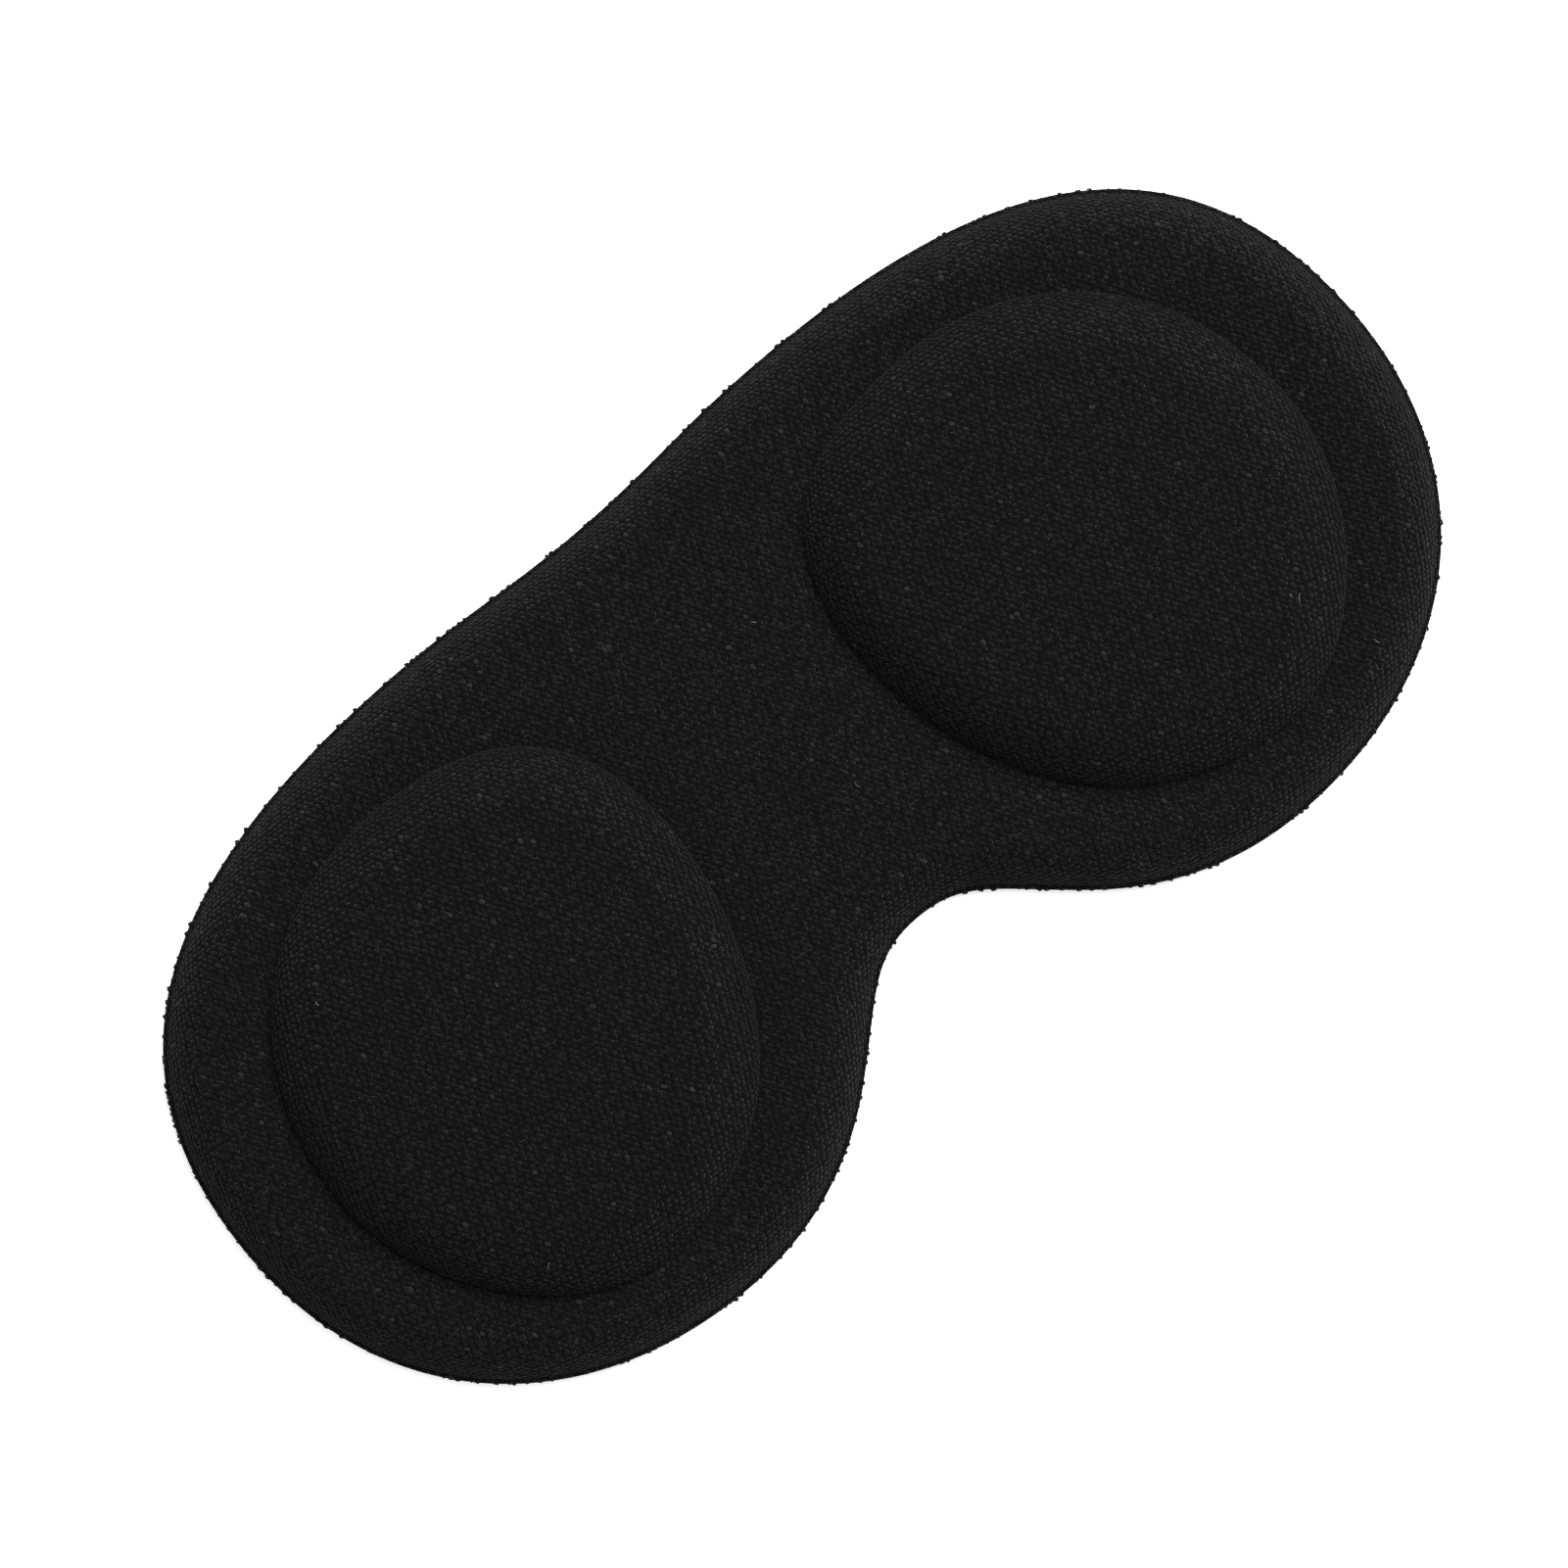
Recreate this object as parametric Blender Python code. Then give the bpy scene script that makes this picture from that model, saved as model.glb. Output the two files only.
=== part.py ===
"""Padded cover for a pair of lenses: foam with two raised oval pads, faced with knit and lined with cloth.

Frame: +X along the length, +Y towards the brow edge, +Z out of the padded face. The lining lies on z = 0.
The stack, from the lining up: lining, web, foam core, web discs, lens pads, face web, face fabric.
"""

import math

import bmesh
import bpy
from mathutils import Vector
from mathutils.geometry import interpolate_bezier

MM = 0.001

# Overall size of the cut outline
LENGTH = 150 * MM
HEIGHT = 72 * MM

# Outline, right half: brow dip, brow crest, temple, cheek, nose flank and nose crown
BROW_DIP = 1.1 * MM  # how far the middle of the brow edge lies below its crests
BROW_CREST_X = 24 * MM
TEMPLE_Y = -0.4 * MM
CHEEK_X = 37.6 * MM
NOSE_DEPTH = 17.6 * MM  # from the cheeks up to the crown of the notch
NOSE_FLANK_X = 15.3 * MM
NOSE_FLANK_RISE = 8.2 * MM  # above the cheeks
NOSE_FLANK_HEADING = math.radians(140)

# How full each curve is: the reach of its two handles, as shares of the straight run between its ends
BROW_CURVE = (0.4, 0.4)
TEMPLE_CURVE = (0.43, 0.475)
CHEEK_CURVE = (0.415, 0.42)
FLANK_CURVE = (0.49, 0.185)
NOSE_CURVE = (0.53, 0.35)

# Dome feet: the rim left outside them, the bridge between them, and where their furthest points lie
RIM_TEMPLE = 11.15 * MM
RIM_BROW = 9.5 * MM
RIM_CHEEK = 8.15 * MM
BRIDGE = 26.3 * MM
DOME_TOP_X = 36.2 * MM
DOME_OUTER_Y = -2.4 * MM
DOME_BOTTOM_X = 42.3 * MM
DOME_INNER_Y = 6.1 * MM
DOME_CURVES = ((0.36, 0.455), (0.38, 0.305), (0.44, 0.36), (0.36, 0.575))

# Thickness of each layer, and the gap that keeps two layers from sharing a face
LINING = 0.6 * MM
WEB = 0.15 * MM
CORE = 2.6 * MM
FACE = 0.5 * MM
GAP = 0.3 * MM

# Shaped sections: the pressed lip, the shoulder inside it, and the wall and crown of a dome
LIP = 0.8 * MM
SHOULDER_RUN = 4.4 * MM
WALL_RUN = 6 * MM
WALL_RISE = 4 * MM
CROWN_RISE = 0.8 * MM

# Mesh density
OUTLINE_STEPS = (5, 11, 10, 6, 5)  # one for each curve of the half outline
DOME_STEPS = (8, 8, 8, 8)
SHOULDER_RINGS = 4
WALL_RINGS = 4
CROWN_RINGS = 2

# Heights and depths that follow from the stack
CORE_BASE = LINING + GAP + WEB + GAP
CORE_TOP = CORE_BASE + CORE
PAD_BASE = CORE_TOP + GAP + WEB + GAP
LIP_TOP = CORE_BASE + FACE
WEB_DEPTH = FACE + GAP  # how far the face web lies under the outside of the face
FOAM_DEPTH = WEB_DEPTH + WEB + GAP  # and how far the foam lies under it
RIM_TOP = CORE_TOP + FOAM_DEPTH

NORTH, EAST, SOUTH, WEST = (Vector(way) for way in ((0, 1), (1, 0), (0, -1), (-1, 0)))


def clear_scene():
    for obj in list(bpy.data.objects):
        bpy.data.objects.remove(obj, do_unlink=True)


def make_material(name, color, roughness):
    material = bpy.data.materials.new(name)
    material.use_nodes = True
    shader = material.node_tree.nodes["Principled BSDF"]
    shader.inputs["Base Color"].default_value = (*color, 1)
    shader.inputs["Roughness"].default_value = roughness
    shader.inputs["Metallic"].default_value = 0
    return material


def curve_through(knots, curves, steps):
    """Points along a curve through knots of (point, heading), without its last point."""
    points = []
    for (start, leaving), (end, arriving), reaches, count in zip(knots, knots[1:], curves, steps):
        run = (end - start).length
        reach_out, reach_in = reaches
        handle_out = start + leaving * reach_out * run
        handle_in = end - arriving * reach_in * run
        points += interpolate_bezier(start, handle_out, handle_in, end, count + 1)[:-1]
    return points


def outline():
    """The whole cut edge, clockwise seen from the face, from the brow dip."""
    half_length, half_height = LENGTH / 2, HEIGHT / 2
    flank_heading = Vector((math.cos(NOSE_FLANK_HEADING), math.sin(NOSE_FLANK_HEADING)))
    crown = Vector((0, NOSE_DEPTH - half_height))
    knots = [
        (Vector((0, half_height - BROW_DIP)), EAST),
        (Vector((BROW_CREST_X, half_height)), EAST),
        (Vector((half_length, TEMPLE_Y)), SOUTH),
        (Vector((CHEEK_X, -half_height)), WEST),
        (Vector((NOSE_FLANK_X, NOSE_FLANK_RISE - half_height)), flank_heading),
        (crown, WEST),
    ]
    curves = (BROW_CURVE, TEMPLE_CURVE, CHEEK_CURVE, FLANK_CURVE, NOSE_CURVE)
    right = curve_through(knots, curves, OUTLINE_STEPS)
    left = [Vector((-point.x, point.y)) for point in reversed(right[1:])]
    return right + [crown] + left


def dome_outline(side):
    """Foot of one dome, clockwise seen from the face: side is 1 for the right dome and -1 for the left."""
    top = Vector((DOME_TOP_X, HEIGHT / 2 - RIM_BROW))
    outer = Vector((LENGTH / 2 - RIM_TEMPLE, DOME_OUTER_Y))
    bottom = Vector((DOME_BOTTOM_X, RIM_CHEEK - HEIGHT / 2))
    inner = Vector((BRIDGE / 2, DOME_INNER_Y))
    knots = [(top, EAST), (outer, SOUTH), (bottom, WEST), (inner, NORTH), (top, EAST)]
    points = curve_through(knots, DOME_CURVES, DOME_STEPS)
    if side < 0:
        points = [Vector((-point.x, point.y)) for point in reversed(points)]
    return points


def inset(loop, distance):
    """A clockwise loop moved inwards along its normals."""
    moved = []
    for before, point, after in zip(loop[-1:] + loop[:-1], loop, loop[1:] + loop[:1]):
        along = (after - before).normalized()
        moved.append(point + Vector((along.y, -along.x)) * distance)
    return moved


def middle(loop):
    xs = [point.x for point in loop]
    ys = [point.y for point in loop]
    return Vector(((min(xs) + max(xs)) / 2, (min(ys) + max(ys)) / 2))


def add_ring(bm, loop, z):
    return [bm.verts.new((point.x, point.y, z)) for point in loop]


def join_rings(bm, rings):
    """Quads from each ring up or in to the next, facing out of clockwise rings."""
    for lower, upper in zip(rings, rings[1:]):
        for i, vert in enumerate(lower):
            k = (i + 1) % len(lower)
            bm.faces.new((lower[k], vert, upper[i], upper[k]))


def ring_edges(bm, ring):
    return [bm.edges.get(pair) for pair in zip(ring, ring[1:] + ring[:1])]


def shoulder_rings(bm, depth, base):
    """Rings up the shoulder, depth under the outside of the face, from z = base to the flat rim."""
    edge = outline()
    rings = []
    if base < LIP_TOP:
        rings.append(add_ring(bm, inset(edge, LIP + depth), base))
    for k in range(SHOULDER_RINGS + 1):
        angle = math.pi / 2 * k / SHOULDER_RINGS
        inwards = LIP + SHOULDER_RUN - (SHOULDER_RUN - depth) * math.cos(angle)
        z = LIP_TOP + (RIM_TOP - LIP_TOP - depth) * math.sin(angle)
        rings.append(add_ring(bm, inset(edge, inwards), z))
    return rings


def dome_rings(bm, side, depth, base):
    """Rings up the wall of one dome, depth under the outside of the face, from z = base."""
    foot = dome_outline(side)
    rings = []
    if base < RIM_TOP:
        rings.append(add_ring(bm, inset(foot, depth), base))
    for k in range(WALL_RINGS + 1):
        angle = math.pi / 2 * k / WALL_RINGS
        inwards = WALL_RUN - (WALL_RUN - depth) * math.cos(angle)
        z = RIM_TOP + (WALL_RISE - depth) * math.sin(angle)
        rings.append(add_ring(bm, inset(foot, inwards), z))
    return rings


def close_crown(bm, side, depth, wall_ring):
    """Carries a dome from the top of its wall to its middle."""
    edge = inset(dome_outline(side), WALL_RUN)
    centre = middle(edge)
    wall_top = RIM_TOP + WALL_RISE - depth
    rings = [wall_ring]
    for k in range(1, CROWN_RINGS):
        share = 1 - k / CROWN_RINGS
        loop = [centre + (point - centre) * share for point in edge]
        rings.append(add_ring(bm, loop, wall_top + CROWN_RISE * (1 - share**2)))
    join_rings(bm, rings)
    peak = bm.verts.new((centre.x, centre.y, wall_top + CROWN_RISE))
    last = rings[-1]
    for vert, after in zip(last, last[1:] + last[:1]):
        bm.faces.new((after, vert, peak))


def add_object(name, bm, material):
    mesh = bpy.data.meshes.new(name)
    bm.to_mesh(mesh)
    bm.free()
    mesh.materials.append(material)
    mesh.shade_smooth()
    mesh.set_sharp_from_angle(angle=math.radians(40))
    obj = bpy.data.objects.new(name, mesh)
    bpy.context.scene.collection.objects.link(obj)
    return obj


def add_face_layer(name, depth, thickness, base, material):
    """A moulded sheet over the foam, depth under the outside of the face, open along its lower edge."""
    bm = bmesh.new()
    shoulder = shoulder_rings(bm, depth, base)
    if depth == 0:
        shoulder.insert(0, add_ring(bm, outline(), LIP_TOP))
    join_rings(bm, shoulder)
    border = ring_edges(bm, shoulder[-1])
    for side in (1, -1):
        wall = dome_rings(bm, side, depth, RIM_TOP - depth)
        join_rings(bm, wall)
        close_crown(bm, side, depth, wall[-1])
        border += ring_edges(bm, wall[0])
    bmesh.ops.triangle_fill(bm, edges=border, use_beauty=True, normal=(0, 0, 1))
    obj = add_object(name, bm, material)
    shell = obj.modifiers.new("Thickness", "SOLIDIFY")
    shell.thickness = thickness
    shell.offset = -1
    shell.use_even_offset = True
    return obj


def add_plate(name, loop, base, thickness, material):
    bm = bmesh.new()
    lower, upper = add_ring(bm, loop, base), add_ring(bm, loop, base + thickness)
    join_rings(bm, (lower, upper))
    bm.faces.new(lower)
    bm.faces.new(reversed(upper))
    return add_object(name, bm, material)


def add_foam_core(material):
    bm = bmesh.new()
    rings = shoulder_rings(bm, FOAM_DEPTH, CORE_BASE)
    join_rings(bm, rings)
    bm.faces.new(rings[0])
    bm.faces.new(reversed(rings[-1]))
    return add_object("foam_core", bm, material)


def add_lens_pad(name, side, material):
    bm = bmesh.new()
    rings = dome_rings(bm, side, FOAM_DEPTH, PAD_BASE)
    join_rings(bm, rings)
    bm.faces.new(rings[0])
    close_crown(bm, side, FOAM_DEPTH, rings[-1])
    return add_object(name, bm, material)


def main():
    clear_scene()
    knit = make_material("face_knit", (0.011, 0.011, 0.011), 0.85)
    brushed = make_material("brushed_lining", (0.013, 0.013, 0.013), 0.95)
    core_foam = make_material("core_foam", (0.03, 0.03, 0.03), 0.9)
    pad_foam = make_material("pad_foam", (0.06, 0.06, 0.065), 0.95)
    hot_melt = make_material("hot_melt_web", (0.55, 0.54, 0.5), 0.6)

    add_plate("back_lining", outline(), 0, LINING, brushed)
    add_plate("lining_adhesive_web", inset(outline(), GAP), LINING + GAP, WEB, hot_melt)
    add_foam_core(core_foam)
    for side, hand in ((-1, "left"), (1, "right")):
        disc = inset(dome_outline(side), FOAM_DEPTH)
        add_plate(f"pad_adhesive_{hand}", disc, CORE_TOP + GAP, WEB, hot_melt)
        add_lens_pad(f"lens_pad_{hand}", side, pad_foam)
    add_face_layer("face_adhesive_web", WEB_DEPTH, WEB, CORE_BASE, hot_melt)
    add_face_layer("face_fabric", 0, FACE, LIP_TOP, knit)


main()
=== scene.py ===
import math

import bmesh
import bpy
import numpy as np
from mathutils import Matrix, Vector, noise


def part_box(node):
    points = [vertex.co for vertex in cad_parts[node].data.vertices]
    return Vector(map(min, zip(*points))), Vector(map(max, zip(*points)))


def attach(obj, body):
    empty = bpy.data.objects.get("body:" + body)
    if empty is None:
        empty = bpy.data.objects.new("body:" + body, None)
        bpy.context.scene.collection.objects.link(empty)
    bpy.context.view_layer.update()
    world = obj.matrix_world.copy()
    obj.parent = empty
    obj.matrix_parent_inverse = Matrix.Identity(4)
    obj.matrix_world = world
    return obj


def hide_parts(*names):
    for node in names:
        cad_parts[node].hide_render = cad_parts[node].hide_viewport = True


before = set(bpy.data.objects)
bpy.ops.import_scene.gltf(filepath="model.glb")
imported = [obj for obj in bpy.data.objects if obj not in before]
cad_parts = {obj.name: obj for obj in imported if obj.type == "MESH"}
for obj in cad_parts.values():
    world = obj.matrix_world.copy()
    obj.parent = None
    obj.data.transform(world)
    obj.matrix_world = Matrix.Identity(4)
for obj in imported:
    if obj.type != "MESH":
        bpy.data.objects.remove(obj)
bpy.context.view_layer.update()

mm = 0.001
liningLow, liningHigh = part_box("back_lining")
faceLow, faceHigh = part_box("face_fabric")
coreLow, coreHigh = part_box("foam_core")
padLow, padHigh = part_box("lens_pad_right")

north, east, south, west = (np.array(way, float) for way in ((0, 1), (1, 0), (0, -1), (-1, 0)))

# the cut edge of the right half, from the brow dip round to the crown of the nose notch
cutEdge = {
    "halfLength": liningHigh.x,
    "halfHeight": liningHigh.y,
    "browDip": 1.1 * mm,
    "crestX": 24 * mm,
    "templeY": -0.4 * mm,
    "cheekX": 37.6 * mm,
    "noseDepth": 17.6 * mm,
    "flankX": 15.3 * mm,
    "flankRise": 8.2 * mm,
    "flankHeading": math.radians(140),
    "curves": ((0.4, 0.4), (0.43, 0.475), (0.415, 0.42), (0.49, 0.185), (0.53, 0.35)),
}

# the foot of the right dome
domeFoot = {
    "rimTemple": 11.15 * mm,
    "rimBrow": 9.5 * mm,
    "rimCheek": 8.15 * mm,
    "bridge": 26.3 * mm,
    "topX": 36.2 * mm,
    "outerY": -2.4 * mm,
    "bottomX": 42.3 * mm,
    "innerY": 6.1 * mm,
    "curves": ((0.36, 0.455), (0.38, 0.305), (0.44, 0.36), (0.36, 0.575)),
}

# how the face is moulded, in plan and in height
moulding = {
    "cloth": 0.5 * mm,
    "lipTop": liningHigh.z + 0.73 * mm,
    "rimTop": coreHigh.z + 1.25 * mm,
    "domeTop": faceHigh.z,
    "cutBack": 0.13 * mm,
    "lip": 0.6 * mm,
    "lipCurl": 0.2 * mm,  # the cut edge turns down this far
    "shoulderRun": 4.6 * mm,
    "shoulderStart": math.radians(17),  # how far from upright the shoulder leaves the lip
    "wallRun": 6.3 * mm,
    "crownRise": 1.1 * mm,
    "crownCloth": 0.95,
    "grooveDip": 0.45 * mm,  # the rim sinks towards the foot of a dome
    "grooveReach": 2.6 * mm,
    "unevenness": 0.09 * mm,
    "unevenSize": 13 * mm,
}

# how finely the face is meshed
meshing = {"edgeColumns": 236, "bridgeColumns": 32, "lip": 3, "shoulder": 13, "rim": 12, "wall": 13, "crown": 12}


clothSpan = 0.17  # the flat cloth's places run from 0 to 1 over this many metres


def stageDone(text):
    print("stage:", text, flush=True)


def densePath(knots, curves, perCurve=160):
    # points and headings along the curves through knots of (point, heading)
    share = np.linspace(0, 1, perCurve + 1)[:, None]
    points, headings = [], []
    for (start, leaving), (end, arriving), reaches in zip(knots, knots[1:], curves):
        run = np.linalg.norm(end - start)
        first = start + leaving * reaches[0] * run
        second = end - arriving * reaches[1] * run
        rest = 1 - share
        points.append(rest**3 * start + 3 * rest**2 * share * first + 3 * rest * share**2 * second + share**3 * end)
        slope = rest**2 * (first - start) + 2 * rest * share * (second - first) + share**2 * (end - second)
        headings.append(slope / np.linalg.norm(slope, axis=1, keepdims=True))
    points = np.vstack([run[:-1] for run in points[:-1]] + [points[-1]])
    headings = np.vstack([run[:-1] for run in headings[:-1]] + [headings[-1]])
    return points, headings


def inwardFrom(headings):
    return np.stack([headings[:, 1], -headings[:, 0]], axis=1)


def sampledAlong(points, inward, count):
    # count + 1 evenly spaced points with their inward normals
    along = np.concatenate([[0], np.cumsum(np.linalg.norm(np.diff(points, axis=0), axis=1))])
    at = np.linspace(0, along[-1], count + 1)
    places = np.stack([np.interp(at, along, points[:, k]) for k in (0, 1)], axis=1)
    normals = np.stack([np.interp(at, along, inward[:, k]) for k in (0, 1)], axis=1)
    return places, normals / np.linalg.norm(normals, axis=1, keepdims=True)


def halfCutEdge(count):
    c = cutEdge
    flankWay = np.array([math.cos(c["flankHeading"]), math.sin(c["flankHeading"])])
    knots = [
        (np.array([0, c["halfHeight"] - c["browDip"]]), east),
        (np.array([c["crestX"], c["halfHeight"]]), east),
        (np.array([c["halfLength"], c["templeY"]]), south),
        (np.array([c["cheekX"], -c["halfHeight"]]), west),
        (np.array([c["flankX"], c["flankRise"] - c["halfHeight"]]), flankWay),
        (np.array([0, c["noseDepth"] - c["halfHeight"]]), west),
    ]
    points, headings = densePath(knots, c["curves"])
    return sampledAlong(points, inwardFrom(headings), count)


def domeFootPath():
    d = domeFoot
    top = np.array([d["topX"], cutEdge["halfHeight"] - d["rimBrow"]])
    outer = np.array([cutEdge["halfLength"] - d["rimTemple"], d["outerY"]])
    bottom = np.array([d["bottomX"], d["rimCheek"] - cutEdge["halfHeight"]])
    inner = np.array([d["bridge"] / 2, d["innerY"]])
    knots = [(top, east), (outer, south), (bottom, west), (inner, north), (top, east)]
    points, headings = densePath(knots, d["curves"])
    return points, inwardFrom(headings)


def footUnder(targets):
    # where the line from the dome's middle to each target crosses the foot, with the inward normal there
    points, inward = domeFootPath()
    middle = (points.min(0) + points.max(0)) / 2
    angle = np.unwrap(np.arctan2(*(points - middle).T[::-1]))
    wanted = np.arctan2(*(targets - middle).T[::-1])
    wanted = angle.min() + (wanted - angle.min()) % (2 * math.pi)
    order = np.argsort(angle)
    places = np.stack([np.interp(wanted, angle[order], points[order, k]) for k in (0, 1)], axis=1)
    normals = np.stack([np.interp(wanted, angle[order], inward[order, k]) for k in (0, 1)], axis=1)
    return places, normals / np.linalg.norm(normals, axis=1, keepdims=True), middle


def halfBorder(out, columns):
    # a closed loop of the right half: the cut edge moved inwards, then back up the middle line
    edge, inward = halfCutEdge(meshing["edgeColumns"])
    brim = edge + inward * out
    climb = np.linspace(0, 1, columns + 1)[1:-1, None]
    return np.vstack([brim, brim[-1] + (brim[0] - brim[-1]) * climb])


def ringOf(plan, height, cloth=None):
    cloth = plan if cloth is None else cloth
    return np.column_stack([plan, np.broadcast_to(height, len(plan)), cloth])


def shoulderClimb(turn, first):
    # share of the shoulder's height at a turn, between a quarter ellipse and a softer swell
    ellipse = (np.sin(turn) - math.sin(first)) / (1 - math.sin(first))
    swell = np.sin(math.pi / 2 * (1 - np.cos(turn) / math.cos(first)))
    return 0.62 * ellipse + 0.38 * swell


def mouldedRings(depth=0.0, domed=True):
    # rings of the moulded face of the right half, so far beneath its outside, outermost first
    m, g = moulding, meshing
    columns = g["bridgeColumns"]
    shoulderTop = m["lip"] + m["shoulderRun"]
    drop = m["rimTop"] - m["lipTop"]
    first = m["shoulderStart"]
    turns = np.linspace(math.pi / 2, first, 200)
    across = np.cos(turns) / math.cos(first)
    climb = shoulderClimb(turns, first)
    steps = np.hypot(m["shoulderRun"] * np.diff(across), drop * np.diff(climb))
    arcDown = np.concatenate([[0], np.cumsum(steps)])  # cloth used from the rim down to each turn
    rings = []
    for k in range(g["lip"]):
        out = m["cutBack"] + (m["lip"] - m["cutBack"]) * k / g["lip"]
        clothOut = out - m["lip"] + shoulderTop - arcDown[-1]
        height = m["lipTop"] - depth - m["lipCurl"] * (1 - k / g["lip"]) ** 2
        rings.append(ringOf(halfBorder(out, columns), height, halfBorder(clothOut, columns)))
    if depth:
        rings = []
    for k in range(g["shoulder"]):
        turn = first + (math.pi / 2 - first) * k / g["shoulder"]
        out = m["lip"] + m["shoulderRun"] - (m["shoulderRun"] - depth) * math.cos(turn) / math.cos(first)
        height = m["lipTop"] + (drop - depth) * float(shoulderClimb(turn, first))
        clothOut = shoulderTop - np.interp(-turn, -turns, arcDown)
        rings.append(ringOf(halfBorder(out, columns), height, halfBorder(clothOut, columns)))

    border = halfBorder(shoulderTop, columns)
    foot, footInward, middle = footUnder(border)
    for k in range(g["rim"]):
        share = 1 - (1 - k / g["rim"]) ** 1.5
        plan = border + (foot - border) * share
        gap = np.abs(((foot - plan) * footInward).sum(1))
        height = m["rimTop"] - depth - m["grooveDip"] * np.exp(-((gap / m["grooveReach"]) ** 1.5))
        rings.append(ringOf(plan, height))
    if not domed:
        for k in range(12):
            plan = foot + (middle - foot) * k / 12
            rings.append(ringOf(plan, m["rimTop"] - depth - m["grooveDip"]))
        rings.append(ringOf(np.tile(middle, (len(foot), 1)), m["rimTop"] - depth - m["grooveDip"]))
        return rings
    return rings + domeRings(foot, footInward, middle, depth)


def domeRings(foot, footInward, middle, depth=0.0):
    m, g = moulding, meshing
    footHeight = m["rimTop"] - m["grooveDip"]
    wallRise = m["domeTop"] - m["crownRise"] - footHeight
    reach = np.linalg.norm(foot - middle, axis=1)
    solid = []
    for k in range(g["wall"] + 1):
        turn = math.pi / 2 * k / g["wall"]
        plan = foot + footInward * (m["wallRun"] - (m["wallRun"] - depth) * math.cos(turn))
        climb = 0.5 * math.sin(turn) + 0.5 * math.sin(math.pi / 2 * (1 - math.cos(turn)))
        solid.append((plan, footHeight + (wallRise - depth) * climb))
    brow, browHeight = solid[-1]
    for k in range(1, g["crown"]):
        solid.append((middle + (brow - middle) * (1 - k / g["crown"]), browHeight))
    crowned = []
    for plan, height in solid:
        share = np.linalg.norm(plan - middle, axis=1) / reach
        crowned.append(np.column_stack([plan, height + m["crownRise"] * (1 - share**2)]))
    crowned.append(np.tile([*middle, m["domeTop"] - depth], (len(foot), 1)))
    # the cloth is a little stretched over the crown, and follows the wall's length from its foot up
    onCrown = [middle + (ring[:, :2] - middle) * m["crownCloth"] for ring in crowned]
    wall = crowned[: g["wall"] + 1]
    climbed = np.cumsum([np.linalg.norm(b - a, axis=1) for a, b in zip(wall, wall[1:])], axis=0)
    used = np.vstack([np.zeros(len(foot)), climbed]) / climbed[-1]
    onWall = [foot + (onCrown[g["wall"]] - foot) * share[:, None] for share in used]
    return [ringOf(ring[:, :2], ring[:, 2], cloth)
            for ring, cloth in zip(crowned, onWall + onCrown[g["wall"] + 1:])]


def flatRings(out, height, count=26, columns=None):
    # a flat slab of the right half, from its edge in to a point
    border = halfBorder(out, columns or meshing["bridgeColumns"])
    middle = footUnder(border)[2]
    return [ringOf(border + (middle - border) * (k / count) ** 0.8, height) for k in range(count + 1)]


def addMesh(name, points, faces):
    mesh = bpy.data.meshes.new(name)
    mesh.from_pydata(points[:, :3].tolist(), [], faces)
    place = mesh.attributes.new("clothPlace", "FLOAT_VECTOR", "POINT")
    flat = np.column_stack([points[:, 3:] / clothSpan + 0.5, np.zeros(len(points))])
    place.data.foreach_set("vector", flat.astype(np.float32).ravel())
    bm = bmesh.new()
    bm.from_mesh(mesh)
    bmesh.ops.remove_doubles(bm, verts=bm.verts, dist=0.001 * mm)
    bmesh.ops.delete(bm, geom=[vert for vert in bm.verts if not vert.link_faces], context="VERTS")
    bmesh.ops.dissolve_degenerate(bm, edges=bm.edges, dist=0.0005 * mm)
    bmesh.ops.recalc_face_normals(bm, faces=bm.faces)
    top = max(bm.faces, key=lambda face: face.calc_center_median().z)
    if top.normal.z < 0:
        bmesh.ops.reverse_faces(bm, faces=bm.faces)
    bm.to_mesh(mesh)
    bm.free()
    mesh.shade_smooth()
    obj = bpy.data.objects.new(name, mesh)
    bpy.context.scene.collection.objects.link(obj)
    return obj


def surfaceFrom(name, rings, mirrored=True):
    # faces between rings, and the left half as a mirror of the right
    count = len(rings[0])
    points = np.vstack(rings)
    faces = []
    for k in range(len(rings) - 1):
        for i in range(count):
            j = (i + 1) % count
            face = (k * count + i, (k + 1) * count + i, (k + 1) * count + j, k * count + j)
            if mirrored and max(abs(points[c, 0]) for c in face) < 0.001 * mm:
                continue
            faces.append(face)
    if mirrored:
        faces += [tuple(len(points) + i for i in reversed(face)) for face in faces]
        points = np.vstack([points, points * np.array([-1, 1, 1, -1, 1])])
    return addMesh(name, points, faces)


def uneven(obj, amount, size, seed):
    # soft unevenness of the foam under the cloth, fading out at the pressed lip
    for vert in obj.data.vertices:
        if vert.co.z > moulding["lipTop"]:
            fade = min(1, (vert.co.z - moulding["lipTop"]) / (1.5 * mm))
            swell = noise.noise(vert.co / size + Vector((seed, 0, 0)))
            swell += 0.5 * noise.noise(vert.co / size * 2.3 + Vector((0, seed, 0)))
            vert.co += vert.normal * amount * swell * fade


def newTree(name, sockets):
    # a geometry tree with named inputs, given as (name, kind, value)
    tree = bpy.data.node_groups.new(name, "GeometryNodeTree")
    tree.interface.new_socket(name="Geometry", in_out="INPUT", socket_type="NodeSocketGeometry")
    for title, kind, value in sockets:
        socket = tree.interface.new_socket(name=title, in_out="INPUT", socket_type=f"NodeSocket{kind}")
        if value is not None:
            socket.default_value = value
    tree.interface.new_socket(name="Geometry", in_out="OUTPUT", socket_type="NodeSocketGeometry")
    return tree


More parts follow.
